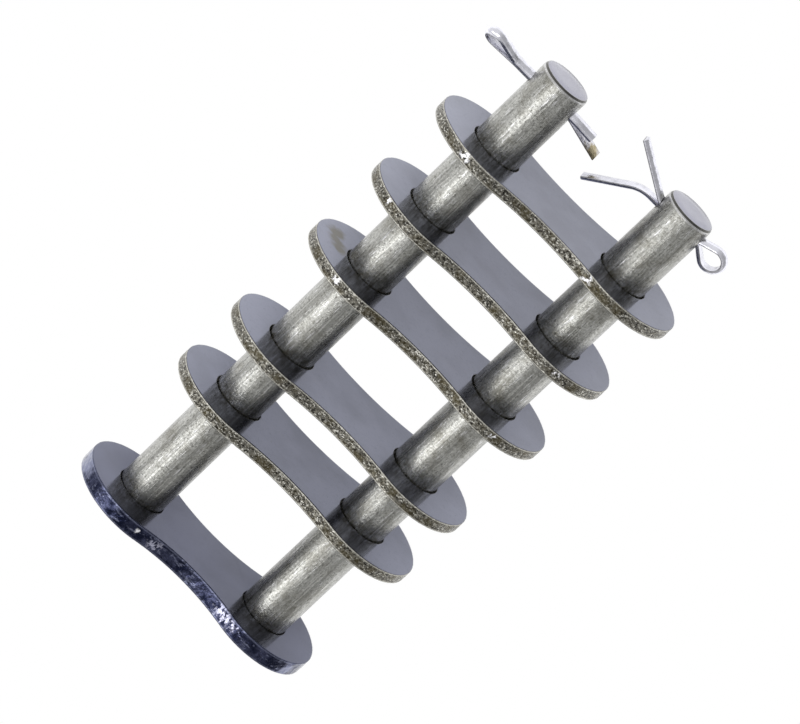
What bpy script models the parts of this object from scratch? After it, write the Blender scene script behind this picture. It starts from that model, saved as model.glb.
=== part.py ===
"""Cottered connecting link of a triplex roller chain.

The link lies on the rims of its plates. +X runs along the chain pitch, +Y along the two
pins from the riveted plate to the split pins, and +Z is up. The origin is the middle of
the base of the whole link. All sizes are in metres and all angles in degrees.
"""
import math

import bmesh
import bpy
from mathutils import Vector

MM = 0.001

# Chain
PITCH = 25.4 * MM                 # distance between the two pins

# Pins
PIN_RADIUS = 4.065 * MM
PIN_END_CHAMFER = 0.5 * MM        # along the pin
PIN_END_CHAMFER_DEPTH = 0.3 * MM  # across the pin
RIVET_HEAD_OVERHANG = 0.835 * MM  # past the pin's side
RIVET_HEAD_HEIGHT = 0.9 * MM
RIVET_HEAD_RIM = 0.3 * MM         # height of its straight side, below the taper
RIVET_HEAD_TAPER = 0.9 * MM       # across the head
RIVET_SHOULDER_GAP = 0.1 * MM     # rivet head to the back of the plate
PINS = {
    # side of the link, cover plate to the free end, free end to the middle of the cross hole
    "pin_a": {"side": -1, "free_end": 14.6 * MM, "hole_from_end": 3.3 * MM},
    "pin_b": {"side": 1, "free_end": 14.2 * MM, "hole_from_end": 2.6 * MM},
}

# Riveted end plate
RIVETED_THICKNESS = 2.65 * MM
RIVETED_END_RADIUS = 9.65 * MM
RIVETED_WAIST = 7.0 * MM          # half the plate's height at its waist
RIVETED_HOLE_CLEARANCE = 0.1 * MM

# Middle plates and cover plate, which slide on the pins
PLATE_THICKNESS = 1.92 * MM
PLATE_END_RADIUS = 10.25 * MM
PLATE_WAIST = 8.25 * MM
PLATE_HOLE_CLEARANCE = 0.2 * MM
# free length of the pins between each plate and the one before it
PLATE_SPACES = {
    "middle_plate_1": 19.43 * MM,
    "middle_plate_2": 9.58 * MM,
    "middle_plate_3": 14.68 * MM,
    "middle_plate_4": 11.48 * MM,
    "cover_plate": 11.48 * MM,
}

# Split pins, bent from half-round wire with its flat side inwards
WIRE_RADIUS = 0.82 * MM
LEG_GAP = 0.1 * MM                # between the flats of the two legs
EYE_RADIUS = 1.5 * MM             # inside of the eye
NECK_INNER_BEND = 0.5 * MM        # round side of the wire, where the eye leaves the legs
NECK_DEPTH = 0.4 * MM             # how far the neck of a seated split pin is in its hole
CROSS_HOLE_CLEARANCE = 0.28 * MM  # round the two legs
SPLIT_PINS = {
    "split_pin_a": {
        "pin": "pin_a", "turn": (53, 0, 0), "pulled_out": 3.2 * MM,
        "eye_reach": 4.4 * MM, "eye_offset": 0.9 * MM,
        "short_leg": {"length": 15.2 * MM, "bend_after": 0.3 * MM, "bend": 9.0 * MM, "angle": -9},
        "long_leg": {"length": 19.0 * MM, "bend_after": -0.6 * MM, "bend": 2.0 * MM, "angle": 35},
    },
    "split_pin_b": {
        "pin": "pin_b", "turn": (-13, 180, 0), "pulled_out": 0.0,
        "eye_reach": 3.3 * MM, "eye_offset": -0.5 * MM,
        "short_leg": {"length": 17.4 * MM, "bend_after": -0.6 * MM, "bend": 2.0 * MM, "angle": 34},
        "long_leg": {"length": 20.0 * MM, "bend_after": 1.5 * MM, "bend": 5.0 * MM, "angle": 39},
    },
}

CROSS_HOLE_RADIUS = LEG_GAP / 2 + WIRE_RADIUS + CROSS_HOLE_CLEARANCE
CUTTER_OVERRUN = 4.0 * MM         # drill past each side of the pin

# Facets
ROUND_STEPS = 40                  # the same on pins and plate holes, so their facets line up
CROSS_HOLE_STEPS = 24
PLATE_ARC_STEPS = 16
WIRE_ARC_STEPS = 7
NECK_ARC_STEPS = 5
EYE_ARC_STEPS = 9
LEG_STEP_ANGLE = 6                # degrees of leg bend for each facet

LINK_NAME = "chain_connecting_link"


def clear_scene():
    for old in list(bpy.data.objects):
        bpy.data.objects.remove(old, do_unlink=True)


def make_collection(name):
    collection = bpy.data.collections.new(name)
    bpy.context.scene.collection.children.link(collection)
    return collection


def steel(name, colour, roughness):
    material = bpy.data.materials.new(name)
    material.use_nodes = True
    shader = material.node_tree.nodes["Principled BSDF"]
    shader.inputs["Base Color"].default_value = (*colour, 1.0)
    shader.inputs["Metallic"].default_value = 1.0
    shader.inputs["Roughness"].default_value = roughness
    return material


def arc_points(centre, radius, start, end, steps):
    """Points on an arc from the start angle to the end angle, both included."""
    points = []
    for step in range(steps + 1):
        angle = start + (end - start) * step / steps
        offset = Vector((math.cos(angle), math.sin(angle))) * radius
        points.append(centre + offset)
    return points


def add_spline(curve, points, closed):
    spline = curve.splines.new("POLY")
    spline.points.add(len(points) - 1)
    for spot, point in zip(spline.points, points):
        spot.co = (point.x, point.y, 0.0, 1.0)
    spline.use_cyclic_u = closed
    return spline


def new_curve(name):
    curve = bpy.data.curves.new(name, "CURVE")
    curve.dimensions = "2D"
    curve.resolution_u = 1
    return curve


def place(name, data, collection, frame, location, rotation=(0.0, 0.0, 0.0)):
    piece = bpy.data.objects.new(name, data)
    collection.objects.link(piece)
    piece.parent = frame
    piece.location = location
    piece.rotation_euler = [math.radians(angle) for angle in rotation]
    return piece


def waisted_outline(end_radius, waist):
    """A link plate's outline: two round ends joined by a hollow arc on each side."""
    half = PITCH / 2
    hollow = (half ** 2 + waist ** 2 - end_radius ** 2) / (2 * (end_radius - waist))
    hollow_centre = Vector((0.0, waist + hollow))
    end_centre = Vector((half, 0.0))
    join = math.atan2(hollow_centre.y, -half)
    right_end = arc_points(end_centre, end_radius, -join, join, 2 * PLATE_ARC_STEPS)
    meet = right_end[-1] - hollow_centre
    start = math.atan2(meet.y, meet.x)
    top = arc_points(hollow_centre, hollow, start, -math.pi - start, PLATE_ARC_STEPS)
    first_half = right_end + top[1:-1]
    second_half = [-point for point in first_half]
    return first_half + second_half


def make_plate(name, far_face, thickness, end_radius, waist, hole_radius, material, target):
    curve = new_curve(name)
    curve.fill_mode = "BOTH"
    curve.extrude = thickness / 2
    add_spline(curve, waisted_outline(end_radius, waist), closed=True)
    for side in (-1, 1):
        centre = Vector((side * PITCH / 2, 0.0))
        rim = arc_points(centre, hole_radius, 0.0, math.tau, ROUND_STEPS)
        add_spline(curve, rim[:-1], closed=True)
    curve.materials.append(material)
    middle = (0.0, far_face - thickness / 2, 0.0)
    return place(name, curve, *target, middle, (90, 0, 0))


def plate_faces():
    """Distance from the inner face of the riveted plate to the far face of each loose plate."""
    faces = {}
    reached = 0.0
    for name, space in PLATE_SPACES.items():
        reached += space + PLATE_THICKNESS
        faces[name] = reached
    return faces


def pin_reach(pin):
    """Distance from the inner face of the riveted plate to the free end of a pin."""
    return plate_faces()["cover_plate"] + pin["free_end"]


def pin_profile(reach):
    """Outer side of a pin from its free end down to the middle of its rivet head."""
    back = -RIVETED_THICKNESS - RIVET_SHOULDER_GAP
    head_end = back - RIVET_HEAD_HEIGHT
    head_radius = PIN_RADIUS + RIVET_HEAD_OVERHANG
    return [
        (0.0, reach),
        (PIN_RADIUS - PIN_END_CHAMFER_DEPTH, reach),
        (PIN_RADIUS, reach - PIN_END_CHAMFER),
        (PIN_RADIUS, back),
        (head_radius, back),
        (head_radius, back - RIVET_HEAD_RIM),
        (head_radius - RIVET_HEAD_TAPER, head_end),
        (0.0, head_end),
    ]


def cross_hole_centre(pin):
    return (pin["side"] * PITCH / 2, pin_reach(pin) - pin["hole_from_end"], 0.0)


def make_pin(name, pin, material, target, cutters):
    mesh = bpy.data.meshes.new(name)
    profile = [(radius, 0.0, height) for radius, height in pin_profile(pin_reach(pin))]
    edges = [(index, index + 1) for index in range(len(profile) - 1)]
    mesh.from_pydata(profile, edges, [])
    mesh.materials.append(material)
    piece = place(name, mesh, *target, (pin["side"] * PITCH / 2, 0.0, 0.0), (-90, 0, 0))
    turn = piece.modifiers.new("turned", "SCREW")
    turn.steps = ROUND_STEPS
    turn.render_steps = ROUND_STEPS
    turn.use_merge_vertices = True
    turn.merge_threshold = 0.00001
    cutter = make_cross_hole(name + "_cross_hole", pin, cutters, target[1])
    drill = piece.modifiers.new("cross_hole", "BOOLEAN")
    drill.operation = "DIFFERENCE"
    drill.object = cutter
    return piece


def make_cross_hole(name, pin, cutters, frame):
    mesh = bpy.data.meshes.new(name)
    drill = bmesh.new()
    bmesh.ops.create_cone(
        drill, cap_ends=True, segments=CROSS_HOLE_STEPS, radius1=CROSS_HOLE_RADIUS,
        radius2=CROSS_HOLE_RADIUS, depth=2 * (PIN_RADIUS + CUTTER_OVERRUN))
    drill.to_mesh(mesh)
    drill.free()
    cutter = place(name, mesh, cutters, frame, cross_hole_centre(pin), (0, 90, 0))
    cutter.hide_render = True
    cutter.display_type = "WIRE"
    return cutter


def make_wire_section(cutters, frame):
    """Half-round section of the split-pin wire; its flat side lies on the path."""
    section = new_curve("split_pin_wire_section")
    quarter = math.pi / 2
    arc = arc_points(Vector((0.0, 0.0)), WIRE_RADIUS, quarter, -quarter, WIRE_ARC_STEPS)
    add_spline(section, arc, closed=True)
    guide = place(section.name, section, cutters, frame, (0.0, 0.0, 0.0))
    guide.hide_render = True
    guide.display_type = "WIRE"
    return guide


def leg_points(neck, leg):
    """A leg from just past the neck to its tip, on the +Y side of the split pin."""
    bend_start = PIN_RADIUS + leg["bend_after"]
    turn = math.radians(leg["angle"])
    way = math.copysign(1.0, turn)
    hub = Vector((bend_start, LEG_GAP / 2 + way * leg["bend"]))
    facing = -way * math.pi / 2
    steps = max(2, round(abs(leg["angle"]) / LEG_STEP_ANGLE))
    bend = arc_points(hub, leg["bend"], facing, facing + turn, steps)
    rest = leg["length"] - (bend_start - neck) - leg["bend"] * abs(turn)
    tip = bend[-1] + Vector((math.cos(turn), math.sin(turn))) * rest
    return bend + [tip]


def half_path(neck, leg, eye_reach, eye_offset):
    """Flat side of the wire from the tip of one leg to the far end of the eye."""
    neck_bend = WIRE_RADIUS + NECK_INNER_BEND
    hub = Vector((neck, LEG_GAP / 2 + neck_bend))
    eye = Vector((neck - eye_reach, eye_offset))
    between = eye - hub
    lean = math.acos((neck_bend + EYE_RADIUS) / between.length)
    touch = math.atan2(between.y, between.x) + lean - math.tau
    if touch < -math.pi:
        touch += math.tau
    leg_side = leg_points(neck, leg)[::-1]
    neck_side = arc_points(hub, neck_bend, -math.pi / 2, touch, NECK_ARC_STEPS)
    eye_side = arc_points(eye, EYE_RADIUS, touch + math.pi, math.pi, EYE_ARC_STEPS)
    return leg_side + neck_side + eye_side


def make_split_pin(name, shape, material, section, target):
    neck = -(PIN_RADIUS - NECK_DEPTH) - shape["pulled_out"]
    upper = half_path(neck, shape["short_leg"], shape["eye_reach"], shape["eye_offset"])
    lower = half_path(neck, shape["long_leg"], shape["eye_reach"], -shape["eye_offset"])
    mirrored = [Vector((point.x, -point.y)) for point in reversed(lower)]
    curve = new_curve(name)
    curve.bevel_mode = "OBJECT"
    curve.bevel_object = section
    curve.use_fill_caps = True
    add_spline(curve, upper + mirrored[1:], closed=False)
    curve.materials.append(material)
    centre = cross_hole_centre(PINS[shape["pin"]])
    return place(name, curve, *target, centre, shape["turn"])


def move_origin_to_base(frame, pieces):
    """Move the whole link so that the origin is the middle of its base."""
    bpy.context.view_layer.update()
    graph = bpy.context.evaluated_depsgraph_get()
    low = Vector((math.inf,) * 3)
    high = Vector((-math.inf,) * 3)
    for piece in pieces:
        solid = piece.evaluated_get(graph)
        mesh = solid.to_mesh()
        for vertex in mesh.vertices:
            spot = solid.matrix_world @ vertex.co
            low = Vector(map(min, low, spot))
            high = Vector(map(max, high, spot))
        solid.to_mesh_clear()
    middle = (low + high) / 2
    frame.location = (-middle.x, -middle.y, -low.z)
    bpy.context.view_layer.update()


def build():
    clear_scene()
    parts = make_collection(LINK_NAME)
    cutters = make_collection("cutters")
    frame = bpy.data.objects.new("link_frame", None)
    parts.objects.link(frame)
    target = (parts, frame)

    pieces = [make_plate(
        "riveted_plate", 0.0, RIVETED_THICKNESS, RIVETED_END_RADIUS, RIVETED_WAIST,
        PIN_RADIUS + RIVETED_HOLE_CLEARANCE, steel("blued_steel", (0.10, 0.11, 0.17), 0.3), target)]
    for name, pin in PINS.items():
        ground = steel(name + "_steel", (0.42, 0.41, 0.39), 0.3)
        pieces.append(make_pin(name, pin, ground, target, cutters))
    for name, far_face in plate_faces().items():
        rolled = steel(name + "_steel", (0.22, 0.22, 0.25), 0.35)
        pieces.append(make_plate(
            name, far_face, PLATE_THICKNESS, PLATE_END_RADIUS, PLATE_WAIST,
            PIN_RADIUS + PLATE_HOLE_CLEARANCE, rolled, target))
    section = make_wire_section(cutters, frame)
    for name, shape in SPLIT_PINS.items():
        bright = steel(name + "_steel", (0.62, 0.62, 0.6), 0.25)
        pieces.append(make_split_pin(name, shape, bright, section, target))
    move_origin_to_base(frame, pieces)


if __name__ == "__main__":
    build()
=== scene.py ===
"""Looks of a cottered connecting link for triplex roller chain, built around its CAD frame.

The file is laid out as an add-on and run as a script. +X runs along the chain pitch, +Y along
the pins towards the split pins, and +Z is up. Lengths are in metres.
"""
import math

import bmesh
import bpy
from bpy.props import FloatProperty, FloatVectorProperty, IntProperty, PointerProperty
from bpy.types import Operator, Panel, PropertyGroup
from mathutils import Euler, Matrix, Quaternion, Vector


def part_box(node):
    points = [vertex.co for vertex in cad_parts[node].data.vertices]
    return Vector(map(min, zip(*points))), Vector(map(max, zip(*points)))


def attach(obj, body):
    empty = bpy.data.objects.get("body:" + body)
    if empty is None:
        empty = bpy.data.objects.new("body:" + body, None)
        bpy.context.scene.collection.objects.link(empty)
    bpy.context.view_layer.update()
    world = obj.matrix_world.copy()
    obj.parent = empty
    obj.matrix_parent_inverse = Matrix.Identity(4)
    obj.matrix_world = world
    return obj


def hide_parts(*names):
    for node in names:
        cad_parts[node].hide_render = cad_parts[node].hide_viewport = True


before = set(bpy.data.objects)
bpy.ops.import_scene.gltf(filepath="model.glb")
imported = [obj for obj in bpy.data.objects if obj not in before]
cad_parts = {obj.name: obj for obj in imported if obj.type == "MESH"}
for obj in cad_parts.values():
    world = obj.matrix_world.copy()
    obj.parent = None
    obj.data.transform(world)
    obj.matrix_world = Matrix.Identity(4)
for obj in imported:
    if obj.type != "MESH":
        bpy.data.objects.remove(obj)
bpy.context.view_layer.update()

bl_info = {
    "name": "Chain Connecting Link",
    "version": (1, 0, 0),
    "blender": (4, 5, 0),
    "location": "3D View > Sidebar > Chain Link",
    "description": "Builds the plates, pins and split pins of a cottered chain link",
    "category": "Object",
}

MM = 0.001

PIN_NODES = ("pin_a", "pin_b")
LOOSE_PLATES = ("middle_plate_1", "middle_plate_2", "middle_plate_3", "middle_plate_4", "cover_plate")
RIVETED_BODY = "riveted_plate_and_pins"

PIN_STEPS = 160              # points round a pin
DRILL_STEPS = 64             # points round a cross hole
DRILL_OVERRUN = 1.0 * MM     # past each side of the pin
RING_SPACING = 0.8 * MM      # between rings of points along a pin
CORNER_EASE = 0.08 * MM      # softening of a pin's turned corners
WIRE_STEP = 0.3 * MM         # between points along a bent wire
FLOOR_DROP = 0.05 * MM       # floor below the link, so that the two never flicker
LAMP_DISTANCE = 0.7          # from the link to a soft box


def box_middle(node):
    low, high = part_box(node)
    return (low + high) / 2


PIN_MIDDLES = {name: box_middle(name) for name in PIN_NODES}
HALF_PITCH = (PIN_MIDDLES["pin_b"].x - PIN_MIDDLES["pin_a"].x) / 2
LINK_MIDDLE = (PIN_MIDDLES["pin_a"] + PIN_MIDDLES["pin_b"]) / 2

# The split pins as they were bent, by hand, with pliers. "turn" is in degrees about X, Y and Z.
SPLIT_PINS = {
    "split_pin_a": {
        "pin": "pin_a", "hole_from_end": 3.3 * MM, "turn": (53, 0, 0),
        "pulled_out": 3.2 * MM, "eye_reach": 4.4 * MM, "eye_offset": 0.9 * MM,
        "short_leg": {"length": 15.2 * MM, "bend_after": 0.3 * MM, "bend": 9.0 * MM, "angle": -9},
        "long_leg": {"length": 19.0 * MM, "bend_after": -0.6 * MM, "bend": 2.0 * MM, "angle": 35},
    },
    "split_pin_b": {
        "pin": "pin_b", "hole_from_end": 2.6 * MM, "turn": (-13, 180, 0),
        "pulled_out": 0.0, "eye_reach": 3.3 * MM, "eye_offset": -0.5 * MM,
        "short_leg": {"length": 17.4 * MM, "bend_after": -0.6 * MM, "bend": 2.0 * MM, "angle": 34},
        "long_leg": {"length": 20.0 * MM, "bend_after": 1.5 * MM, "bend": 5.0 * MM, "angle": 39},
    },
}


def spot(x, y, z, radius):
    """A round spot of wear: its middle from the middle of the pins, and its radius, in millimetres."""
    return LINK_MIDDLE + Vector((x, y, z)) * MM, radius * MM


OIL_STAINS = (spot(-20.0, 5.9, -1.9, 1.9), spot(-19.2, 5.9, 0.2, 1.7), spot(-18.4, 5.9, 2.2, 1.5))
RIM_CHIPS = (spot(-15.5, 31.9, 9.9, 0.95), spot(8.7, 31.7, 9.5, 0.9),
             spot(15.6, 18.7, 9.9, 0.6), spot(-18.7, 18.7, 8.4, 0.7),
             spot(15.9, 5.3, 9.9, 0.6), spot(-15.6, 5.2, 9.9, 0.7))
BLUE_THINNED = (spot(-21.9, -45.0, 3.3, 3.4), spot(20.4, -45.0, 5.8, 1.3))
BLUE_CHIPS = (spot(-6.2, -44.9, 7.9, 1.2), spot(8.0, -44.6, 8.5, 1.8), spot(10.2, -44.5, 9.2, 1.1))
BLUE_NICKS = (spot(-9.5, -44.6, 9.1, 0.42),)
WIRE_GRIME = (spot(-2.9, 41.0, -2.9, 2.0), spot(-18.6, 43.0, 1.4, 0.8), spot(-3.4, 43.2, 1.0, 1.0))


# ---------------------------------------------------------------- colours and nodes

def linear(code):
    """An sRGB hex colour as linear red, green and blue, with full alpha."""
    values = [int(code[start:start + 2], 16) / 255 for start in (1, 3, 5)]
    return (*(v / 12.92 if v <= 0.04045 else ((v + 0.055) / 1.055) ** 2.4 for v in values), 1.0)


def add(tree, kind, inputs=None, **settings):
    """Add a node with its settings; an input is a value or another node's output."""
    node = tree.nodes.new(kind)
    for name, value in settings.items():
        setattr(node, name, value)
    for key, value in (inputs or {}).items():
        if isinstance(value, bpy.types.NodeSocket):
            tree.links.new(value, node.inputs[key])
        else:
            node.inputs[key].default_value = value
    return node


def every(millimetres):
    """Texture scale that gives features about this many millimetres apart."""
    return 1.0 / (millimetres * MM)


# ---------------------------------------------------------------- settings

def length(name, default, description):
    return FloatProperty(name=name, description=description, default=default, min=0.0,
                         precision=5, unit="LENGTH", subtype="DISTANCE")


def colour(name, code, description):
    return FloatVectorProperty(name=name, description=description, default=linear(code),
                               size=4, min=0.0, max=1.0, subtype="COLOR")


class ChainLinkPlates(PropertyGroup):
    loose_waist: length("Loose waist", 8.25 * MM, "Half the height of a loose plate at its waist")
    riveted_waist: length("Riveted waist", 7.0 * MM, "Half the height of the riveted plate at its waist")
    loose_bore: length("Loose bore", 4.265 * MM, "Radius of the holes in a loose plate")
    riveted_bore: length("Riveted bore", 4.165 * MM, "Radius of the holes in the riveted plate")
    edge_round: length("Edge round", 0.13 * MM, "Radius that punching leaves on the edges")
    lip: length("Lip", 0.1 * MM, "Flat strip inside each rounded edge")
    step: length("Step", 0.16 * MM, "Distance between points along the rim")
    across_steps: IntProperty(name="Steps across", description="Points across the rim", default=26, min=8)
    grain_depth: length("Grain depth", 0.05 * MM, "Depth of the torn grain on a punched rim")
    grain_size: length("Grain size", 0.3 * MM, "Width of the torn grain on a punched rim")
    blued_grain_depth: length("Blued grain depth", 0.03 * MM, "Depth of the dents in the blued rim")
    blued_grain_size: length("Blued grain size", 0.7 * MM, "Width of the dents in the blued rim")


class ChainLinkPins(PropertyGroup):
    radius: length("Radius", 4.065 * MM, "Radius of a pin")
    chamfer: length("Chamfer", 0.5 * MM, "Length of the chamfer at the free end")
    chamfer_depth: length("Chamfer depth", 0.3 * MM, "Depth of that chamfer")
    head_radius: length("Head radius", 4.9 * MM, "Radius of the rivet head")
    head_height: length("Head height", 0.9 * MM, "Height of the rivet head")
    hole_radius: length("Hole radius", 1.15 * MM, "Radius of the cross hole")
    hole_flare: length("Hole flare", 0.12 * MM, "Countersink of the cross hole")
    stain_reach: length("Stain reach", 3.0 * MM, "How far from a plate the brown tarnish runs")


class ChainLinkSplitPins(PropertyGroup):
    wire_radius: length("Wire radius", 0.82 * MM, "Radius of the half-round wire")
    wire_edge: length("Wire edge", 0.1 * MM, "Round on the corners of the half-round wire")
    leg_gap: length("Leg gap", 0.1 * MM, "Space between the flats of the two legs")
    eye_radius: length("Eye radius", 1.5 * MM, "Inside radius of the eye")
    neck_bend: length("Neck bend", 1.32 * MM, "Radius of the bends where the eye meets the legs")
    neck_depth: length("Neck depth", 0.4 * MM, "Depth of a seated neck in its hole")


class ChainLinkColours(PropertyGroup):
    plate_face: colour("Plate face", "#6c6f80", "Oiled face of a loose plate")
    plate_cloud: colour("Plate cloud", "#595c6b", "Clouding on the faces")
    # also the painted highlight: a pale line along the rim's rounded edges
    rim_grain_and_painted_highlight: colour("Rim light", "#d0cec6", "Bright grains of a punched rim")
    rim_mid: colour("Rim middle", "#76736a", "Grey of a punched rim")
    # also the painted shade: a dark line at the rim's edges
    rim_pits_and_painted_shade: colour("Rim dark", "#131210", "Pits of a punched rim")
    rim_brown: colour("Rim brown", "#453e28", "Rust film on a punched rim")
    blued_face: colour("Blued face", "#55586b", "Face of the riveted plate")
    blued_cloud: colour("Blued cloud", "#464959", "Clouding on that face")
    # also the painted highlight: a pale line along the blued rim's rounded edges
    blued_thin_oxide_and_painted_highlight: colour("Blued light", "#787c92", "Thin oxide on the riveted plate's rim")
    blued_mid: colour("Blued middle", "#3e4156", "Blue on the riveted plate's rim")
    # also the painted shade: a dark line at the blued rim's edges
    blued_deep_and_painted_shade: colour("Blued dark", "#171a2b", "Deep blue on the riveted plate's rim")
    blued_bare: colour("Blued bare", "#a5a6b8", "Lilac steel under the chipped oxide")
    bare_steel: colour("Bare steel", "#eeeef2", "Steel laid bare by a chip")
    oil_stain: colour("Oil stain", "#3d371c", "Dried oil")
    pin_steel: colour("Pin steel", "#8d8d89", "Ground steel of the pins")
    pin_light: colour("Pin light", "#b6b6b2", "Rubbed streaks along a pin")
    # also the painted shade on a pin's chamfer and along the split pins' wire corners
    pin_grit_and_painted_shade: colour("Pin dark", "#383733", "Grit marks and the chamfer of a pin")
    pin_tarnish: colour("Pin tarnish", "#46412f", "Brown tarnish on the pins")
    pin_end: colour("Pin end", "#8b8b97", "Faced end of a pin")
    wire_steel: colour("Wire steel", "#d2d2da", "Bright drawn wire of the split pins")
    wire_dull: colour("Wire dull", "#9a9aa0", "Duller patches of that wire")
    wire_grime: colour("Wire grime", "#8a7a3a", "Old grease on the split pins")


class ChainLinkStage(PropertyGroup):
    floor_colour: colour("Floor colour", "#f6f6f6", "Pale paper floor")
    floor_size: length("Floor size", 6.0, "Width of the floor")
    sky_strength: FloatProperty(name="Sky strength", description="Even light from all round",
                                default=1.1, min=0.0)
    key_power: FloatProperty(name="Key power", description="Power of the main soft box",
                             default=1.5, min=0.0, unit="POWER")
    key_size: FloatVectorProperty(name="Key size", description="Width and length of the main soft box",
                                  default=(0.26, 0.8), size=2, subtype="XYZ", unit="LENGTH")
    fill_power: FloatProperty(name="Fill power", description="Power of the narrow soft box",
                              default=0.15, min=0.0, unit="POWER")
    fill_size: FloatVectorProperty(name="Fill size", description="Width and length of the narrow soft box",
                                   default=(0.12, 0.8), size=2, subtype="XYZ", unit="LENGTH")
    floor_glow: FloatProperty(name="Floor glow", description="Light coming up through the paper",
                              default=0.6, min=0.0)
    camera_lens: FloatProperty(name="Lens", description="Focal length of the camera",
                               default=225.84, min=1.0, unit="CAMERA")
    camera_distance: length("Distance", 0.72382, "From the camera to the point it looks at")
    camera_azimuth: FloatProperty(name="Azimuth", description="Direction of the camera round the link",
                                  default=math.radians(-170.225), subtype="ANGLE")
    camera_elevation: FloatProperty(name="Elevation", description="Height of the camera as an angle",
                                    default=math.radians(68.967), subtype="ANGLE")
    camera_roll: FloatProperty(name="Roll", description="Turn of the camera about its own axis",
                               default=math.radians(-144.048), subtype="ANGLE")
    camera_aim: FloatVectorProperty(name="Aim", description="Aim, from the middle of the link at pin height",
                                    default=(-0.307 * MM, -0.479 * MM, 0.0), subtype="TRANSLATION")


# ---------------------------------------------------------------- curves and node trees

def arc_points(centre, radius, start, end, step):
    """Points on an arc, both ends included, no more than one step apart."""
    count = max(2, math.ceil(abs(end - start) * radius / step))
    points = []
    for index in range(count + 1):
        angle = start + (end - start) * index / count
        points.append(centre + Vector((math.cos(angle), math.sin(angle))) * radius)
    return points


def waisted_outline(end_radius, waist, step):
    """A link plate's outline: two round ends joined by a hollow arc on each side."""
    hollow = (HALF_PITCH ** 2 + waist ** 2 - end_radius ** 2) / (2 * (end_radius - waist))
    hollow_centre = Vector((0.0, waist + hollow))
    join = math.atan2(hollow_centre.y, -HALF_PITCH)
    right_end = arc_points(Vector((HALF_PITCH, 0.0)), end_radius, -join, join, step)
    meet = right_end[-1] - hollow_centre
    start = math.atan2(meet.y, meet.x)
    top = arc_points(hollow_centre, hollow, start, -math.pi - start, step)
    first_half = right_end + top[1:-1]
    return first_half + [-point for point in first_half]


def path_curve(name, paths, closed):
    """A curve object with one spline for each path, lying in its own XY plane."""
    data = bpy.data.curves.new(name, "CURVE")
    data.dimensions = "3D"
    data.twist_mode = "Z_UP"
    for points in paths:
        spline = data.splines.new("POLY")
        spline.points.add(len(points) - 1)
        for knot, point in zip(spline.points, points):
            knot.co = (point.x, point.y, 0.0, 1.0)
        spline.use_cyclic_u = closed
    return link(bpy.data.objects.new(name, data))


def link(thing):
    bpy.context.scene.collection.objects.link(thing)
    return thing


def shape_tree(name, inputs):
    """An empty geometry tree with named inputs, and its input node's outputs."""
    tree = bpy.data.node_groups.new(name, "GeometryNodeTree")
    tree.interface.new_socket("Geometry", in_out="INPUT", socket_type="NodeSocketGeometry")
    for label, kind in inputs.items():
        tree.interface.new_socket(label, in_out="INPUT", socket_type="NodeSocket" + kind)
    tree.interface.new_socket("Geometry", in_out="OUTPUT", socket_type="NodeSocketGeometry")
    return tree, add(tree, "NodeGroupInput").outputs


def finish_tree(tree, geometry, material):
    """End the tree in real faces with the material on them."""
    real = add(tree, "GeometryNodeRealizeInstances", {"Geometry": geometry})
    painted = add(tree, "GeometryNodeSetMaterial", {"Geometry": real.outputs[0], "Material": material})
    add(tree, "NodeGroupOutput", {"Geometry": painted.outputs[0]})


def shaped(name, guide, tree, values):
    """The plain mesh object that a tree makes from a guide curve; the guide is removed."""
    modifier = guide.modifiers.new("shape", "NODES")
    modifier.node_group = tree
    for item in tree.interface.items_tree:
        if item.in_out == "INPUT" and item.name in values:
            modifier[item.identifier] = values[item.name]
    graph = bpy.context.evaluated_depsgraph_get()
    mesh = bpy.data.meshes.new_from_object(guide.evaluated_get(graph))
    mesh.name = name
    guide.modifiers.remove(modifier)
    bpy.data.objects.remove(guide)
    mesh.shade_smooth()
    return link(bpy.data.objects.new(name, mesh))


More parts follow.
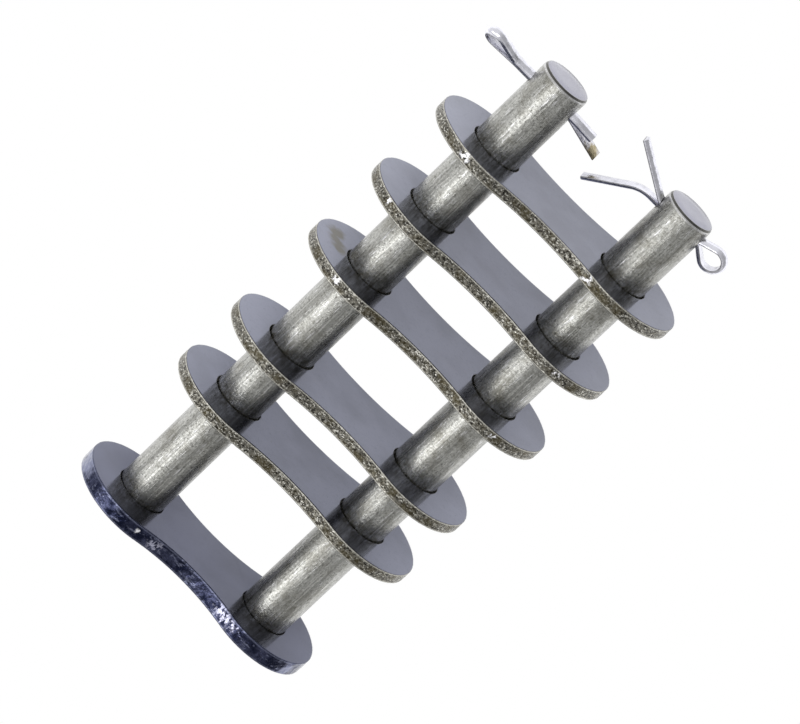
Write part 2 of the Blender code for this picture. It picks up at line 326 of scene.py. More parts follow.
def plate_tree():
    """A punched plate: a rounded rim swept round each outline, with flat faces filled in between."""
    tree, given = shape_tree("punched plate", {
        "Thickness": "Float", "Edge Round": "Float", "Lip": "Float", "Across Steps": "Int",
        "Grain Depth": "Float", "Grain Size": "Float", "Seed": "Float", "Place": "Vector",
        "Material": "Material"})
    half = add(tree, "ShaderNodeMath", {0: given["Thickness"], 1: 0.5}, operation="MULTIPLY").outputs[0]
    back = add(tree, "ShaderNodeMath", {0: half, 1: -1.0}, operation="MULTIPLY").outputs[0]
    reach = add(tree, "ShaderNodeMath", {0: given["Lip"], 1: given["Edge Round"]}).outputs[0]
    corners = {}
    for key, x, y in (("Point 1", 0.0, half), ("Point 2", reach, half),
                      ("Point 3", reach, back), ("Point 4", 0.0, back)):
        corners[key] = add(tree, "ShaderNodeCombineXYZ", {"X": x, "Y": y}).outputs[0]
    section = add(tree, "GeometryNodeCurvePrimitiveQuadrilateral", corners, mode="POINTS")
    section = add(tree, "GeometryNodeSetSplineCyclic", {"Geometry": section.outputs[0], "Cyclic": False})
    section = add(tree, "GeometryNodeFilletCurve", {
        "Curve": section.outputs[0], "Radius": given["Edge Round"], "Count": 6,
        "Limit Radius": True}, mode="POLY")
    section = add(tree, "GeometryNodeResampleCurve", {
        "Curve": section.outputs[0], "Count": given["Across Steps"]}, mode="COUNT")
    place = add(tree, "ShaderNodeSeparateXYZ", {"Vector": add(tree, "GeometryNodeInputPosition").outputs[0]})
    rim = add(tree, "ShaderNodeMapRange", {
        "Value": place.outputs["X"], "From Min": given["Lip"], "From Max": reach}).outputs[0]
    across = add(tree, "ShaderNodeMath", {0: place.outputs["Y"], 1: half}, operation="DIVIDE").outputs[0]
    for label, value in (("rim", rim), ("across", across)):
        section = add(tree, "GeometryNodeStoreNamedAttribute", {
            "Geometry": section.outputs[0], "Name": label, "Value": value},
            data_type="FLOAT", domain="POINT")
    wall = add(tree, "GeometryNodeCurveToMesh", {
        "Curve": given["Geometry"], "Profile Curve": section.outputs[0]})
    wall = add(tree, "GeometryNodeFlipFaces", {"Mesh": wall.outputs[0]})

    # torn grain: pits pushed in along the normal, only where the rim is upright
    edge = add(tree, "GeometryNodeInputNamedAttribute", {"Name": "rim"}, data_type="FLOAT").outputs[0]
    scale = add(tree, "ShaderNodeMath", {0: 1.0, 1: given["Grain Size"]}, operation="DIVIDE").outputs[0]
    grain = add(tree, "ShaderNodeTexNoise", {
        "W": given["Seed"], "Scale": scale, "Detail": 3.0, "Roughness": 0.6},
        noise_dimensions="4D").outputs[0]
    pits = add(tree, "ShaderNodeMapRange", {
        "Value": grain, "From Min": 0.36, "From Max": 0.6, "To Min": -1.0, "To Max": 0.0}).outputs[0]
    depth = add(tree, "ShaderNodeMath", {0: pits, 1: given["Grain Depth"]}, operation="MULTIPLY").outputs[0]
    depth = add(tree, "ShaderNodeMath", {0: depth, 1: edge}, operation="MULTIPLY").outputs[0]
    push = add(tree, "ShaderNodeVectorMath", {
        0: add(tree, "GeometryNodeInputNormal").outputs[0], "Scale": depth}, operation="SCALE").outputs[0]
    wall = add(tree, "GeometryNodeSetPosition", {"Geometry": wall.outputs[0], "Offset": push})

    face = add(tree, "GeometryNodeFillCurve", {"Curve": given["Geometry"]}, mode="TRIANGLES")
    sheets = []
    for height, flip in ((half, False), (back, True)):
        lift = add(tree, "ShaderNodeCombineXYZ", {"Z": height}).outputs[0]
        sheet = add(tree, "GeometryNodeTransform", {"Geometry": face.outputs[0], "Translation": lift})
        if flip:
            sheet = add(tree, "GeometryNodeFlipFaces", {"Mesh": sheet.outputs[0]})
        sheets.append(sheet)
    whole = add(tree, "GeometryNodeJoinGeometry")
    for part in (wall, *sheets):
        tree.links.new(part.outputs[0], whole.inputs[0])
    whole = add(tree, "GeometryNodeMergeByDistance", {
        "Geometry": whole.outputs[0], "Distance": 0.001 * MM})
    upright = add(tree, "GeometryNodeTransform", {
        "Geometry": whole.outputs[0], "Rotation": Euler((math.pi / 2, 0.0, 0.0)),
        "Translation": given["Place"]})
    finish_tree(tree, upright.outputs[0], given["Material"])
    return tree


def wire_tree():
    """Half-round wire swept along a bent path, with its flat side on the path."""
    tree, given = shape_tree("half-round wire", {
        "Wire Radius": "Float", "Wire Edge": "Float", "Turn": "Rotation", "Place": "Vector",
        "Material": "Material"})
    section = add(tree, "GeometryNodeCurveArc", {
        "Resolution": 17, "Radius": given["Wire Radius"], "Start Angle": -math.pi / 2,
        "Sweep Angle": math.pi}, mode="RADIUS")
    section = add(tree, "GeometryNodeSetSplineCyclic", {"Geometry": section.outputs[0], "Cyclic": True})
    section = add(tree, "GeometryNodeFilletCurve", {
        "Curve": section.outputs[0], "Radius": given["Wire Edge"], "Count": 3,
        "Limit Radius": True}, mode="POLY")
    place = add(tree, "ShaderNodeSeparateXYZ", {"Vector": add(tree, "GeometryNodeInputPosition").outputs[0]})
    bulge = add(tree, "ShaderNodeMath", {0: place.outputs["X"], 1: given["Wire Radius"]}, operation="DIVIDE")
    section = add(tree, "GeometryNodeStoreNamedAttribute", {
        "Geometry": section.outputs[0], "Name": "bulge", "Value": bulge.outputs[0]},
        data_type="FLOAT", domain="POINT")
    wire = add(tree, "GeometryNodeCurveToMesh", {
        "Curve": given["Geometry"], "Profile Curve": section.outputs[0], "Fill Caps": True})
    wire = add(tree, "GeometryNodeMergeByDistance", {
        "Geometry": wire.outputs[0], "Distance": 0.001 * MM})
    placed = add(tree, "GeometryNodeTransform", {
        "Geometry": wire.outputs[0], "Rotation": given["Turn"], "Translation": given["Place"]})
    finish_tree(tree, placed.outputs[0], given["Material"])
    return tree


# ---------------------------------------------------------------- materials

def new_material(name):
    material = bpy.data.materials.new(name)
    material.use_nodes = True
    tree = material.node_tree
    place = add(tree, "ShaderNodeTexCoord").outputs["Object"]
    shader = tree.nodes["Principled BSDF"]
    shader.inputs["Metallic"].default_value = 1.0
    return material, tree, shader, place


def pattern(tree, place, size, levels, detail=2.0, roughness=0.5):
    """Cloudy pattern with features of this many millimetres, spread between two levels of its noise."""
    cloud = add(tree, "ShaderNodeTexNoise", {
        "Vector": place, "Scale": every(size), "Detail": detail, "Roughness": roughness})
    return add(tree, "ShaderNodeMapRange", {
        "Value": cloud.outputs[0], "From Min": levels[0], "From Max": levels[1]}).outputs[0]


def drawn_out(tree, place, stretch):
    """The same place with some of its directions drawn out, for scratches and brushed grain."""
    shares = tuple(1.0 / amount for amount in stretch)
    return add(tree, "ShaderNodeVectorMath", {0: place, 1: shares}, operation="MULTIPLY").outputs[0]


def coat(tree, under, over, amount, strength=1.0):
    """One colour laid over another where a pattern shows, at most this strongly."""
    share = add(tree, "ShaderNodeMath", {0: amount, 1: strength}, operation="MULTIPLY")
    return add(tree, "ShaderNodeMix", {0: share.outputs[0], 6: under, 7: over}, data_type="RGBA").outputs[2]


def patches(tree, place, spots, ragged):
    """Ragged patches, each round a point with a radius: 1 inside and 0 outside."""
    cloud = add(tree, "ShaderNodeTexNoise", {"Vector": place, "Scale": every(ragged), "Detail": 3.0})
    total = 0.0
    for centre, radius in spots:
        far = add(tree, "ShaderNodeVectorMath", {0: place, 1: centre}, operation="DISTANCE")
        edge = add(tree, "ShaderNodeMath", {
            0: cloud.outputs[0], 1: 2.0 * radius, 2: far.outputs["Value"]}, operation="MULTIPLY_ADD")
        inside = add(tree, "ShaderNodeMapRange", {
            "Value": edge.outputs[0], "From Min": 1.5 * radius, "From Max": 2.1 * radius,
            "To Min": 1.0, "To Max": 0.0})
        total = add(tree, "ShaderNodeMath", {0: inside.outputs[0], 1: total}, operation="MAXIMUM").outputs[0]
    return total


def rim_masks(tree):
    """Where the rim stands upright, and the masks of a painted highlight line and a painted shade line along
    each edge, from a plate's attributes.
    """
    rim = add(tree, "ShaderNodeAttribute", attribute_name="rim").outputs["Fac"]
    upright = add(tree, "ShaderNodeMapRange", {"Value": rim, "From Min": 0.25, "From Max": 0.6})
    across = add(tree, "ShaderNodeAttribute", attribute_name="across").outputs["Fac"]
    off_middle = add(tree, "ShaderNodeMath", {0: across}, operation="ABSOLUTE").outputs[0]
    pale = add(tree, "ShaderNodeMapRange", {"Value": off_middle, "From Min": 0.7, "From Max": 0.82})
    dark = add(tree, "ShaderNodeMapRange", {"Value": off_middle, "From Min": 0.88, "From Max": 0.96})
    return upright.outputs[0], pale.outputs[0], dark.outputs[0]


def rough_and_bump(tree, shader, roughness, height, depth):
    """Set roughness between two values by a height pattern, and shade that height as real depth."""
    level = add(tree, "ShaderNodeMapRange", {"Value": height, "To Min": roughness[0], "To Max": roughness[1]})
    tree.links.new(level.outputs[0], shader.inputs["Roughness"])
    bump = add(tree, "ShaderNodeBump", {"Height": height, "Distance": depth})
    tree.links.new(bump.outputs[0], shader.inputs["Normal"])


def rolled_plate_steel(colours):
    """Hardened strip steel: the tumbled, oiled faces shine like dark slate; the punched rim is torn."""
    material, tree, shader, place = new_material("oiled hardened strip steel, punched and tumbled")
    upright, pale, dark = rim_masks(tree)
    # faces: slow clouding from the furnace, fine specks and hair scratches
    clouds = pattern(tree, place, 7.0, (0.42, 0.68), 3.0)
    face = coat(tree, colours.plate_face, colours.plate_cloud, clouds, 0.6)
    face = coat(tree, face, colours.plate_cloud, pattern(tree, place, 0.5, (0.56, 0.7), 3.0, 0.7), 0.6)
    scratches = pattern(tree, drawn_out(tree, place, (26.0, 1.0, 1.0)), 0.35, (0.62, 0.72), 2.0)
    face = coat(tree, face, colours.rim_mid, scratches, 0.12)
    face = coat(tree, face, colours.oil_stain, patches(tree, place, OIL_STAINS, 2.4), 0.8)
    # rim: salt-and-pepper grain of torn steel, rust-brown in places, rubbed bright in others
    grain = pattern(tree, place, 0.42, (0.4, 0.58), 4.0, 0.8)
    torn = coat(tree, colours.rim_pits_and_painted_shade, colours.rim_mid, grain)
    salt = pattern(tree, drawn_out(tree, place, (1.6, 1.0, 1.0)), 0.3, (0.54, 0.62), 4.0, 0.75)
    torn = coat(tree, torn, colours.rim_grain_and_painted_highlight, salt)
    torn = coat(tree, torn, colours.rim_brown, pattern(tree, place, 3.2, (0.48, 0.62), 3.0), 0.65)
    pepper = pattern(tree, drawn_out(tree, place, (1.3, 1.0, 1.0)), 0.36, (0.57, 0.64), 4.0, 0.8)
    torn = coat(tree, torn, colours.rim_pits_and_painted_shade, pepper, 0.9)
    chipped = patches(tree, place, RIM_CHIPS, 0.45)
    flakes = pattern(tree, place, 0.55, (0.46, 0.52), 2.0)
    chips = add(tree, "ShaderNodeMath", {0: chipped, 1: flakes}, operation="MULTIPLY").outputs[0]
    torn = coat(tree, torn, colours.bare_steel, chips)
    # painted highlight: a pale line along each rounded edge of the rim; painted shade: a dark line at its
    # borders
    torn = coat(tree, torn, colours.rim_grain_and_painted_highlight, pale, 0.55)
    torn = coat(tree, torn, colours.rim_pits_and_painted_shade, dark, 0.85)
    shade = add(tree, "ShaderNodeMix", {0: upright, 6: face, 7: torn}, data_type="RGBA").outputs[2]
    tree.links.new(shade, shader.inputs["Base Color"])
    height = add(tree, "ShaderNodeMath", {0: grain, 1: upright}, operation="MULTIPLY").outputs[0]
    rough_and_bump(tree, shader, (0.14, 0.4), height, 0.03 * MM)
    return material


def blued_plate_steel(colours):
    """Heat-blued steel: a slate-smooth face, and an indigo rim that thins to lilac and is chipped bare."""
    material, tree, shader, place = new_material("heat-blued strip steel, punched")
    upright, pale, dark = rim_masks(tree)
    clouds = pattern(tree, place, 8.0, (0.4, 0.7), 3.0)
    face = coat(tree, colours.blued_face, colours.blued_cloud, clouds, 0.6)
    face = coat(tree, face, colours.blued_cloud, pattern(tree, place, 0.5, (0.58, 0.72), 3.0, 0.7), 0.35)
    # rim: the oxide runs from navy to pale lilac, in blotches a millimetre or two wide
    blotch = pattern(tree, place, 2.4, (0.42, 0.6), 4.0, 0.6)
    rim = coat(tree, colours.blued_deep_and_painted_shade, colours.blued_mid, blotch)
    rim = coat(tree, rim, colours.blued_deep_and_painted_shade, pattern(tree, place, 0.7, (0.52, 0.64), 3.0, 0.7), 0.75)
    thin = patches(tree, place, BLUE_THINNED, 2.5)
    rim = coat(tree, rim, colours.blued_thin_oxide_and_painted_highlight, thin, 0.75)
    veins = pattern(tree, drawn_out(tree, place, (2.6, 1.0, 1.0)), 0.55, (0.57, 0.66), 3.0, 0.6)
    rim = coat(tree, rim, colours.blued_thin_oxide_and_painted_highlight, veins, 0.6)
    flakes = pattern(tree, drawn_out(tree, place, (1.0, 2.0, 1.0)), 0.6, (0.47, 0.53), 3.0, 0.6)
    chipped = patches(tree, place, BLUE_CHIPS, 0.8)
    chips = add(tree, "ShaderNodeMath", {0: chipped, 1: flakes}, operation="MULTIPLY").outputs[0]
    rim = coat(tree, rim, colours.blued_bare, chips)
    rim = coat(tree, rim, colours.bare_steel, patches(tree, place, BLUE_NICKS, 0.5))
    # painted highlight: a pale line along each rounded edge of the blued rim; painted shade: a dark line at
    # its borders
    rim = coat(tree, rim, colours.blued_thin_oxide_and_painted_highlight, pale, 0.4)
    rim = coat(tree, rim, colours.blued_deep_and_painted_shade, dark, 0.7)
    shade = add(tree, "ShaderNodeMix", {0: upright, 6: face, 7: rim}, data_type="RGBA").outputs[2]
    tree.links.new(shade, shader.inputs["Base Color"])
    dents = pattern(tree, place, 0.9, (0.35, 0.65), 3.0)
    height = add(tree, "ShaderNodeMath", {0: dents, 1: upright}, operation="MULTIPLY").outputs[0]
    rough_and_bump(tree, shader, (0.15, 0.27), height, 0.06 * MM)
    return material


def ground_pin_steel(colours):
    """Case-hardened steel, ground round: fine grit marks, drag marks along it, brown near the plates."""
    material, tree, shader, place = new_material("ground case-hardened steel")
    # grit marks are really a few hundredths of a millimetre; they are drawn coarse enough to show
    grit = pattern(tree, place, 0.3, (0.36, 0.64), 4.0, 0.75)
    steel = coat(tree, colours.pin_light, colours.pin_steel, grit)
    drag = pattern(tree, drawn_out(tree, place, (1.0, 40.0, 1.0)), 0.45, (0.4, 0.62), 3.0, 0.6)
    steel = coat(tree, steel, colours.pin_grit_and_painted_shade, drag, 0.3)
    pits = pattern(tree, drawn_out(tree, place, (1.0, 1.4, 1.0)), 0.3, (0.54, 0.64), 4.0, 0.8)
    steel = coat(tree, steel, colours.pin_grit_and_painted_shade, pits, 0.75)
    bright = pattern(tree, drawn_out(tree, place, (1.0, 12.0, 1.0)), 0.25, (0.6, 0.68), 3.0, 0.7)
    steel = coat(tree, steel, colours.bare_steel, bright, 0.55)
    cloud = pattern(tree, place, 4.0, (0.45, 0.7), 4.0, 0.7)
    steel = coat(tree, steel, colours.pin_tarnish, cloud, 0.5)
    near_plates = add(tree, "ShaderNodeAttribute", attribute_name="near_plates").outputs["Fac"]
    freckles = pattern(tree, place, 0.9, (0.42, 0.6), 4.0, 0.7)
    stained = add(tree, "ShaderNodeMath", {0: near_plates, 1: freckles}, operation="MULTIPLY").outputs[0]
    steel = coat(tree, steel, colours.pin_tarnish, stained, 0.8)
    # the free end is faced flat and smooth; its chamfer is darkened with painted shade, lighter on its worn
    # edge
    chamfer = add(tree, "ShaderNodeAttribute", attribute_name="chamfer").outputs["Fac"]
    worn = add(tree, "ShaderNodeMapRange", {"Value": chamfer, "From Min": 0.3, "From Max": 0.5}).outputs[0]
    steel = coat(tree, steel, colours.bare_steel, worn, 0.3)
    cut = add(tree, "ShaderNodeMapRange", {"Value": chamfer, "From Min": 0.6, "From Max": 0.8}).outputs[0]
    steel = coat(tree, steel, colours.pin_grit_and_painted_shade, cut, 0.9)
    end = add(tree, "ShaderNodeAttribute", attribute_name="faced_end").outputs["Fac"]
    faced = coat(tree, colours.pin_end, colours.plate_cloud, pattern(tree, place, 1.6, (0.5, 0.7), 3.0), 0.2)
    steel = coat(tree, steel, faced, end)
    tree.links.new(steel, shader.inputs["Base Color"])
    ground = add(tree, "ShaderNodeMath", {0: 1.0, 1: end}, operation="SUBTRACT").outputs[0]
    height = add(tree, "ShaderNodeMath", {0: grit, 1: drag}, operation="ADD").outputs[0]
    height = add(tree, "ShaderNodeMath", {0: height, 1: 0.5}, operation="MULTIPLY").outputs[0]
    height = add(tree, "ShaderNodeMath", {0: height, 1: ground}, operation="MULTIPLY").outputs[0]
    rough_and_bump(tree, shader, (0.2, 0.36), height, 0.02 * MM)
    return material


def bright_wire_steel(colours):
    """Bright drawn wire: pale and smooth, faint draw lines, old grease on some tips and bends."""
    material, tree, shader, place = new_material("bright drawn steel wire")
    cloud = pattern(tree, place, 1.3, (0.45, 0.7), 3.0, 0.6)
    steel = coat(tree, colours.wire_steel, colours.wire_dull, cloud, 0.45)
    specks = pattern(tree, place, 0.35, (0.6, 0.7), 3.0, 0.7)
    steel = coat(tree, steel, colours.wire_dull, specks, 0.5)
    steel = coat(tree, steel, colours.wire_grime, patches(tree, place, WIRE_GRIME, 0.8), 0.75)
    # painted shade: thin dark lines on the round side, next to the two corners of the half-round section
    bulge = add(tree, "ShaderNodeAttribute", attribute_name="bulge").outputs["Fac"]
    corner = add(tree, "ShaderNodeMapRange", {
        "Value": bulge, "From Min": 0.3, "From Max": 0.05, "To Min": 0.0, "To Max": 1.0}).outputs[0]
    raised = add(tree, "ShaderNodeMapRange", {
        "Value": bulge, "From Min": 0.001, "From Max": 0.02}).outputs[0]
    corner = add(tree, "ShaderNodeMath", {0: corner, 1: raised}, operation="MULTIPLY").outputs[0]
    steel = coat(tree, steel, colours.pin_grit_and_painted_shade, corner, 0.85)
    tree.links.new(steel, shader.inputs["Base Color"])
    lines = pattern(tree, drawn_out(tree, place, (8.0, 1.0, 1.0)), 0.3, (0.35, 0.65), 2.0)
    rough_and_bump(tree, shader, (0.12, 0.26), lines, 0.01 * MM)
    return material


# ---------------------------------------------------------------- pieces

def plate_guide(name, waist, bore, settings):
    """Outline and holes of a plate, set in from the metal's edge by its lip and round."""
    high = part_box(name)[1]
    end_radius = high.x - PIN_MIDDLES["pin_b"].x
    inset = settings.edge_round + settings.lip
    outline = waisted_outline(end_radius - inset, waist - inset, settings.step)
    paths = [outline]
    for side in (-1, 1):
        centre = Vector((side * HALF_PITCH, 0.0))
        hole = arc_points(centre, bore + inset, math.tau, 0.0, settings.step)
        paths.append(hole[:-1])
    return path_curve(name + "_outline", paths, closed=True)


def make_plate(name, tree, waist, bore, grain, material, settings):
    low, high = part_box(name)
    place = (low + high) / 2
    place.x = LINK_MIDDLE.x
    place.z = LINK_MIDDLE.z
    depth, size = grain
    return shaped(name + "_punched", plate_guide(name, waist, bore, settings), tree, {
        "Thickness": high.y - low.y, "Edge Round": settings.edge_round, "Lip": settings.lip,
        "Across Steps": settings.across_steps, "Grain Depth": depth, "Grain Size": size,
        "Seed": place.y / MM, "Place": place, "Material": material})


def lathe(name, profile, steps):
    """Turn a profile of (radius, height) pairs, free end first, about the Y axis."""
    mesh = bpy.data.meshes.new(name)
    shape = bmesh.new()
    rings = []
    for radius, height in profile:
        if radius == 0.0:
            rings.append([shape.verts.new((0.0, height, 0.0))])
            continue
        ring = []
        for index in range(steps):
            angle = math.tau * index / steps
            ring.append(shape.verts.new((radius * math.cos(angle), height, radius * math.sin(angle))))
        rings.append(ring)
    for upper, lower in zip(rings, rings[1:]):
        for index in range(steps):
            after = (index + 1) % steps
            corners = []
            for ring, turn in ((upper, index), (upper, after), (lower, after), (lower, index)):
                corner = ring[turn % len(ring)]
                if corner not in corners:
                    corners.append(corner)
            shape.faces.new(corners)
    bmesh.ops.recalc_face_normals(shape, faces=shape.faces)
    shape.to_mesh(mesh)
    shape.free()
    return link(bpy.data.objects.new(name, mesh))


def pin_profile(reach, back, settings):
    """Outer side of a pin from the middle of its free end to the middle of its rivet head."""
    radius = settings.radius
    flat = radius - settings.chamfer_depth
    ease = CORNER_EASE
    profile = [(0.0, reach), (flat * 0.5, reach), (flat - ease, reach)]
    profile.append((flat + ease * 0.6, reach - ease * 0.7))
    profile.append(((flat + radius) / 2, reach - settings.chamfer / 2))
    profile.append((radius - ease * 0.5, reach - settings.chamfer + ease))
    profile.append((radius, reach - settings.chamfer - ease))
    height = reach - 1.0 * MM
    while height > back:
        profile.append((radius, height))
        height -= RING_SPACING
    head = settings.head_radius
    end = back - settings.head_height
    profile += [(radius, back), (head, back), (head, back - settings.head_height / 3)]
    profile += [(head - settings.head_height, end), (flat * 0.5, end), (0.0, end)]
    return profile


def mark_pin(mesh, reach, settings):
    """Store where a pin is faced flat, its chamfer (1, or 0.5 on its worn edge) and how near a plate is."""
    plates = [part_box(name) for name in ("riveted_plate", *LOOSE_PLATES)]
    marks = {name: mesh.attributes.new(name, "FLOAT", "POINT").data
             for name in ("faced_end", "chamfer", "near_plates")}
    for index, vertex in enumerate(mesh.vertices):
        height = vertex.co.y
        across = math.hypot(vertex.co.x, vertex.co.z)
        gap = min(max(low.y - height, height - high.y, 0.0) for low, high in plates)
        flat = height > reach - 0.01 * MM
        near_end = height > reach - settings.chamfer * 1.3
        outside = near_end and across > settings.radius - settings.chamfer_depth
        worn = outside and height < reach - settings.chamfer * 0.7
        marks["faced_end"][index].value = float(flat)
        marks["chamfer"][index].value = 0.5 if worn else float(outside and not flat)
        marks["near_plates"][index].value = max(0.0, 1.0 - gap / settings.stain_reach)


def make_pin(name, shape, material, settings):
    low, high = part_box(name)
    centre = PIN_MIDDLES[name]
    back = low.y + settings.head_height
    pin = lathe(name + "_ground", pin_profile(high.y, back, settings), PIN_STEPS)
    outside = settings.radius
    wide = settings.hole_radius + settings.hole_flare
    over = DRILL_OVERRUN
    drill = lathe(name + "_drill", [
        (0.0, outside + over), (wide + over, outside + over),
        (settings.hole_radius, outside - settings.hole_flare),
        (settings.hole_radius, settings.hole_flare - outside),
        (wide + over, -outside - over), (0.0, -outside - over)], DRILL_STEPS)
    for vertex in drill.data.vertices:
        x, y, z = vertex.co
        vertex.co = (y, high.y - shape["hole_from_end"] + x, -z)
    cut = pin.modifiers.new("cross hole", "BOOLEAN")
    cut.operation = "DIFFERENCE"
    cut.object = drill
    graph = bpy.context.evaluated_depsgraph_get()
    mesh = bpy.data.meshes.new_from_object(pin.evaluated_get(graph))
    pin.modifiers.remove(cut)
    pin.data = mesh
    bpy.data.objects.remove(drill)
    mark_pin(mesh, high.y, settings)
    for vertex in mesh.vertices:
        vertex.co += Vector((centre.x, 0.0, centre.z))
    mesh.materials.clear()
    mesh.materials.append(material)
    mesh.shade_smooth()
    mesh.set_sharp_from_angle(angle=math.radians(28))
    return pin


def leg_points(neck, leg, settings, step):
    """A leg from just past the neck to its tip, on the +Y side of the split pin."""
    bend_start = pin_radius() + leg["bend_after"]
    turn = math.radians(leg["angle"])
    way = math.copysign(1.0, turn)
    hub = Vector((bend_start, settings.leg_gap / 2 + way * leg["bend"]))
    facing = -way * math.pi / 2
    bend = arc_points(hub, leg["bend"], facing, facing + turn, step)
    rest = leg["length"] - (bend_start - neck) - leg["bend"] * abs(turn)
    direction = Vector((math.cos(turn), math.sin(turn)))
    pieces = max(1, round(rest / step))
    return bend + [bend[-1] + direction * (rest * index / pieces) for index in range(1, pieces + 1)]


def pin_radius():
    """The pins' radius, which the split pins are bent to."""
    return bpy.context.scene.chain_link_pins.radius


def half_path(neck, leg, eye_reach, eye_offset, settings, step):
    """Flat side of the wire from the tip of one leg to the far end of the eye."""
    hub = Vector((neck, settings.leg_gap / 2 + settings.neck_bend))
    eye = Vector((neck - eye_reach, eye_offset))
    between = eye - hub
    lean = math.acos((settings.neck_bend + settings.eye_radius) / between.length)
    touch = math.atan2(between.y, between.x) + lean - math.tau
    if touch < -math.pi:
        touch += math.tau
    leg_side = leg_points(neck, leg, settings, step)[::-1]
    neck_side = arc_points(hub, settings.neck_bend, -math.pi / 2, touch, step)
    eye_side = arc_points(eye, settings.eye_radius, touch + math.pi, math.pi, step)
    return leg_side + neck_side + eye_side


def make_split_pin(name, shape, tree, material, settings):
    step = WIRE_STEP
    neck = settings.neck_depth - pin_radius() - shape["pulled_out"]
    upper = half_path(neck, shape["short_leg"], shape["eye_reach"], shape["eye_offset"], settings, step)
    lower = half_path(neck, shape["long_leg"], shape["eye_reach"], -shape["eye_offset"], settings, step)
    mirrored = [Vector((point.x, -point.y)) for point in reversed(lower)]
    guide = path_curve(name + "_path", [upper + mirrored[1:]], closed=False)
    place = PIN_MIDDLES[shape["pin"]].copy()
    place.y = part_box(shape["pin"])[1].y - shape["hole_from_end"]
    piece = shaped(name + "_wire", guide, tree, {
        "Wire Radius": settings.wire_radius, "Wire Edge": settings.wire_edge,
        "Turn": Euler([math.radians(angle) for angle in shape["turn"]]), "Place": place,
        "Material": material})
    piece.data.set_sharp_from_angle(angle=math.radians(40))
    return piece


# ---------------------------------------------------------------- operators

class ChainLinkAddStage(Operator):
    """Add the floor, the lights and the camera"""
    bl_idname = "object.chain_link_add_stage"
    bl_label = "Add Stage"

    def execute(self, context):
        settings = context.scene.chain_link_stage
        add_floor(settings)
        add_lights(settings)
        add_camera(settings)
        context.scene.view_settings.view_transform = "Standard"
        return {"FINISHED"}


def add_floor(settings):
    mesh = bpy.data.meshes.new("floor")
    half = settings.floor_size / 2
    sheet = bmesh.new()
    bmesh.ops.create_grid(sheet, x_segments=8, y_segments=8, size=half)
    sheet.to_mesh(mesh)
    sheet.free()
    floor = link(bpy.data.objects.new("floor", mesh))
    floor.location.z = -FLOOR_DROP
    material, tree, shader, place = new_material("matt white paper, lit from below")
    tone = pattern(tree, place, 40.0, (0.2, 0.8))
    paper = coat(tree, settings.floor_colour, linear("#eeeeee"), tone, 0.04)
    tree.links.new(paper, shader.inputs["Base Color"])
    shader.inputs["Metallic"].default_value = 0.0
    shader.inputs["Roughness"].default_value = 0.9
    shader.inputs["Specular IOR Level"].default_value = 0.0
    shader.inputs["Emission Color"].default_value = linear("#ffffff")
    shader.inputs["Emission Strength"].default_value = settings.floor_glow
    # plain white to the eye, as on a light table, but the link still reflects real paper
    # with its own soft shade
    white = add(tree, "ShaderNodeEmission", {"Color": linear("#ffffff"), "Strength": 1.0})
    seen = add(tree, "ShaderNodeLightPath").outputs["Is Camera Ray"]
    both = add(tree, "ShaderNodeMixShader", {0: seen, 1: shader.outputs[0], 2: white.outputs[0]})
    tree.links.new(both.outputs[0], tree.nodes["Material Output"].inputs["Surface"])
    mesh.materials.append(material)


def add_lights(settings):
    world = bpy.data.worlds.new("studio")
    bpy.context.scene.world = world
    world.use_nodes = True
    tree = world.node_tree
    even = tree.nodes["Background"]
    seen = add(tree, "ShaderNodeBackground", {"Strength": 1.0})
    direct = add(tree, "ShaderNodeLightPath").outputs["Is Camera Ray"]
    for light in (even, seen):
        light.inputs["Color"].default_value = linear("#ffffff")
    # the room is brighter on the key's side, and half as bright on the other
    way = add(tree, "ShaderNodeTexCoord").outputs["Generated"]
    across = add(tree, "ShaderNodeSeparateXYZ", {"Vector": way}).outputs["X"]
    level = add(tree, "ShaderNodeMapRange", {
        "Value": across, "From Min": -0.3, "From Max": 0.4, "To Min": settings.sky_strength,
        "To Max": settings.sky_strength / 2})
    tree.links.new(level.outputs[0], even.inputs["Strength"])
    both = add(tree, "ShaderNodeMixShader", {0: direct, 1: even.outputs[0], 2: seen.outputs[0]})
    tree.links.new(both.outputs[0], tree.nodes["World Output"].inputs[0])
    add_soft_box("key", Vector((-0.42, -0.35, 0.84)), settings.key_size, settings.key_power)
    add_soft_box("fill", Vector((0.66, -0.35, 0.68)), settings.fill_size, settings.fill_power)


def add_soft_box(name, direction, size, power):
    data = bpy.data.lights.new(name, "AREA")
    data.shape = "RECTANGLE"
    data.size, data.size_y = size
    data.energy = power
    lamp = link(bpy.data.objects.new(name, data))
    direction = direction.normalized()
    lamp.location = LINK_MIDDLE + direction * LAMP_DISTANCE
    lamp.rotation_mode = "QUATERNION"
    lamp.rotation_quaternion = direction.to_track_quat("Z", "Y")
    return lamp


def add_camera(settings):
    data = bpy.data.cameras.new("camera")
    data.lens = settings.camera_lens
    data.sensor_width = 36.0
    data.clip_start = 0.01
    camera = link(bpy.data.objects.new("camera", data))
    azimuth, elevation = settings.camera_azimuth, settings.camera_elevation
    back = Vector((math.sin(azimuth) * math.cos(elevation), -math.cos(azimuth) * math.cos(elevation),
                   math.sin(elevation)))
    aim = LINK_MIDDLE + Vector(settings.camera_aim)
    camera.location = aim + back * settings.camera_distance
    camera.rotation_mode = "QUATERNION"
    roll = Quaternion((0, 0, 1), settings.camera_roll)
    camera.rotation_quaternion = (-back).to_track_quat("-Z", "Y") @ roll
    bpy.context.scene.camera = camera


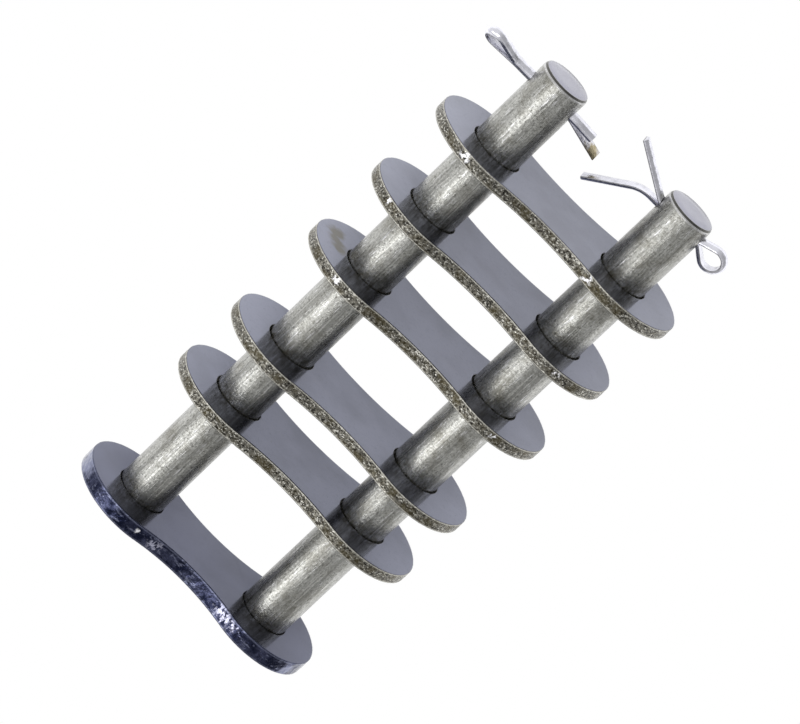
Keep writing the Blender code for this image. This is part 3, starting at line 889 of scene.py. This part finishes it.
class ChainLinkAddRivetedPlate(Operator):
    """Add the blued end plate that the pins are riveted into"""
    bl_idname = "object.chain_link_add_riveted_plate"
    bl_label = "Add Riveted Plate"

    def execute(self, context):
        settings = context.scene.chain_link_plates
        material = blued_plate_steel(context.scene.chain_link_colours)
        grain = (settings.blued_grain_depth, settings.blued_grain_size)
        plate = make_plate("riveted_plate", plate_tree(), settings.riveted_waist,
                           settings.riveted_bore, grain, material, settings)
        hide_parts("riveted_plate")
        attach(plate, RIVETED_BODY)
        return {"FINISHED"}


class ChainLinkAddLoosePlates(Operator):
    """Add the four middle plates and the cover plate, which slide on the pins"""
    bl_idname = "object.chain_link_add_loose_plates"
    bl_label = "Add Loose Plates"

    def execute(self, context):
        settings = context.scene.chain_link_plates
        material = rolled_plate_steel(context.scene.chain_link_colours)
        grain = (settings.grain_depth, settings.grain_size)
        tree = plate_tree()
        for name in LOOSE_PLATES:
            plate = make_plate(name, tree, settings.loose_waist, settings.loose_bore,
                               grain, material, settings)
            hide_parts(name)
            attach(plate, name)
        return {"FINISHED"}


class ChainLinkAddPins(Operator):
    """Add the two pins"""
    bl_idname = "object.chain_link_add_pins"
    bl_label = "Add Pins"

    def execute(self, context):
        material = ground_pin_steel(context.scene.chain_link_colours)
        for shape in SPLIT_PINS.values():
            pin = make_pin(shape["pin"], shape, material, context.scene.chain_link_pins)
            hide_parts(shape["pin"])
            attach(pin, RIVETED_BODY)
        return {"FINISHED"}


class ChainLinkAddSplitPins(Operator):
    """Add the two bent split pins"""
    bl_idname = "object.chain_link_add_split_pins"
    bl_label = "Add Split Pins"

    def execute(self, context):
        material = bright_wire_steel(context.scene.chain_link_colours)
        tree = wire_tree()
        for name, shape in SPLIT_PINS.items():
            wire = make_split_pin(name, shape, tree, material, context.scene.chain_link_split_pins)
            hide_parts(name)
            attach(wire, name)
        return {"FINISHED"}


class ChainLinkPanel(Panel):
    """Lists the steps that build the link"""
    bl_idname = "VIEW3D_PT_chain_link"
    bl_label = "Chain Connecting Link"
    bl_space_type = "VIEW_3D"
    bl_region_type = "UI"
    bl_category = "Chain Link"

    def draw(self, context):
        for operator in OPERATORS:
            self.layout.operator(operator.bl_idname)


OPERATORS = (ChainLinkAddStage, ChainLinkAddRivetedPlate, ChainLinkAddLoosePlates,
             ChainLinkAddPins, ChainLinkAddSplitPins)
SETTINGS = {"chain_link_plates": ChainLinkPlates, "chain_link_pins": ChainLinkPins,
            "chain_link_split_pins": ChainLinkSplitPins, "chain_link_colours": ChainLinkColours,
            "chain_link_stage": ChainLinkStage}


def register():
    for kind in (*SETTINGS.values(), *OPERATORS, ChainLinkPanel):
        bpy.utils.register_class(kind)
    for name, kind in SETTINGS.items():
        setattr(bpy.types.Scene, name, PointerProperty(type=kind))


def unregister():
    for name in SETTINGS:
        delattr(bpy.types.Scene, name)
    for kind in reversed((*SETTINGS.values(), *OPERATORS, ChainLinkPanel)):
        bpy.utils.unregister_class(kind)


def main():
    register()
    bpy.ops.object.chain_link_add_stage()
    bpy.ops.object.chain_link_add_riveted_plate()
    bpy.ops.object.chain_link_add_loose_plates()
    bpy.ops.object.chain_link_add_pins()
    bpy.ops.object.chain_link_add_split_pins()


if __name__ == "__main__":
    main()
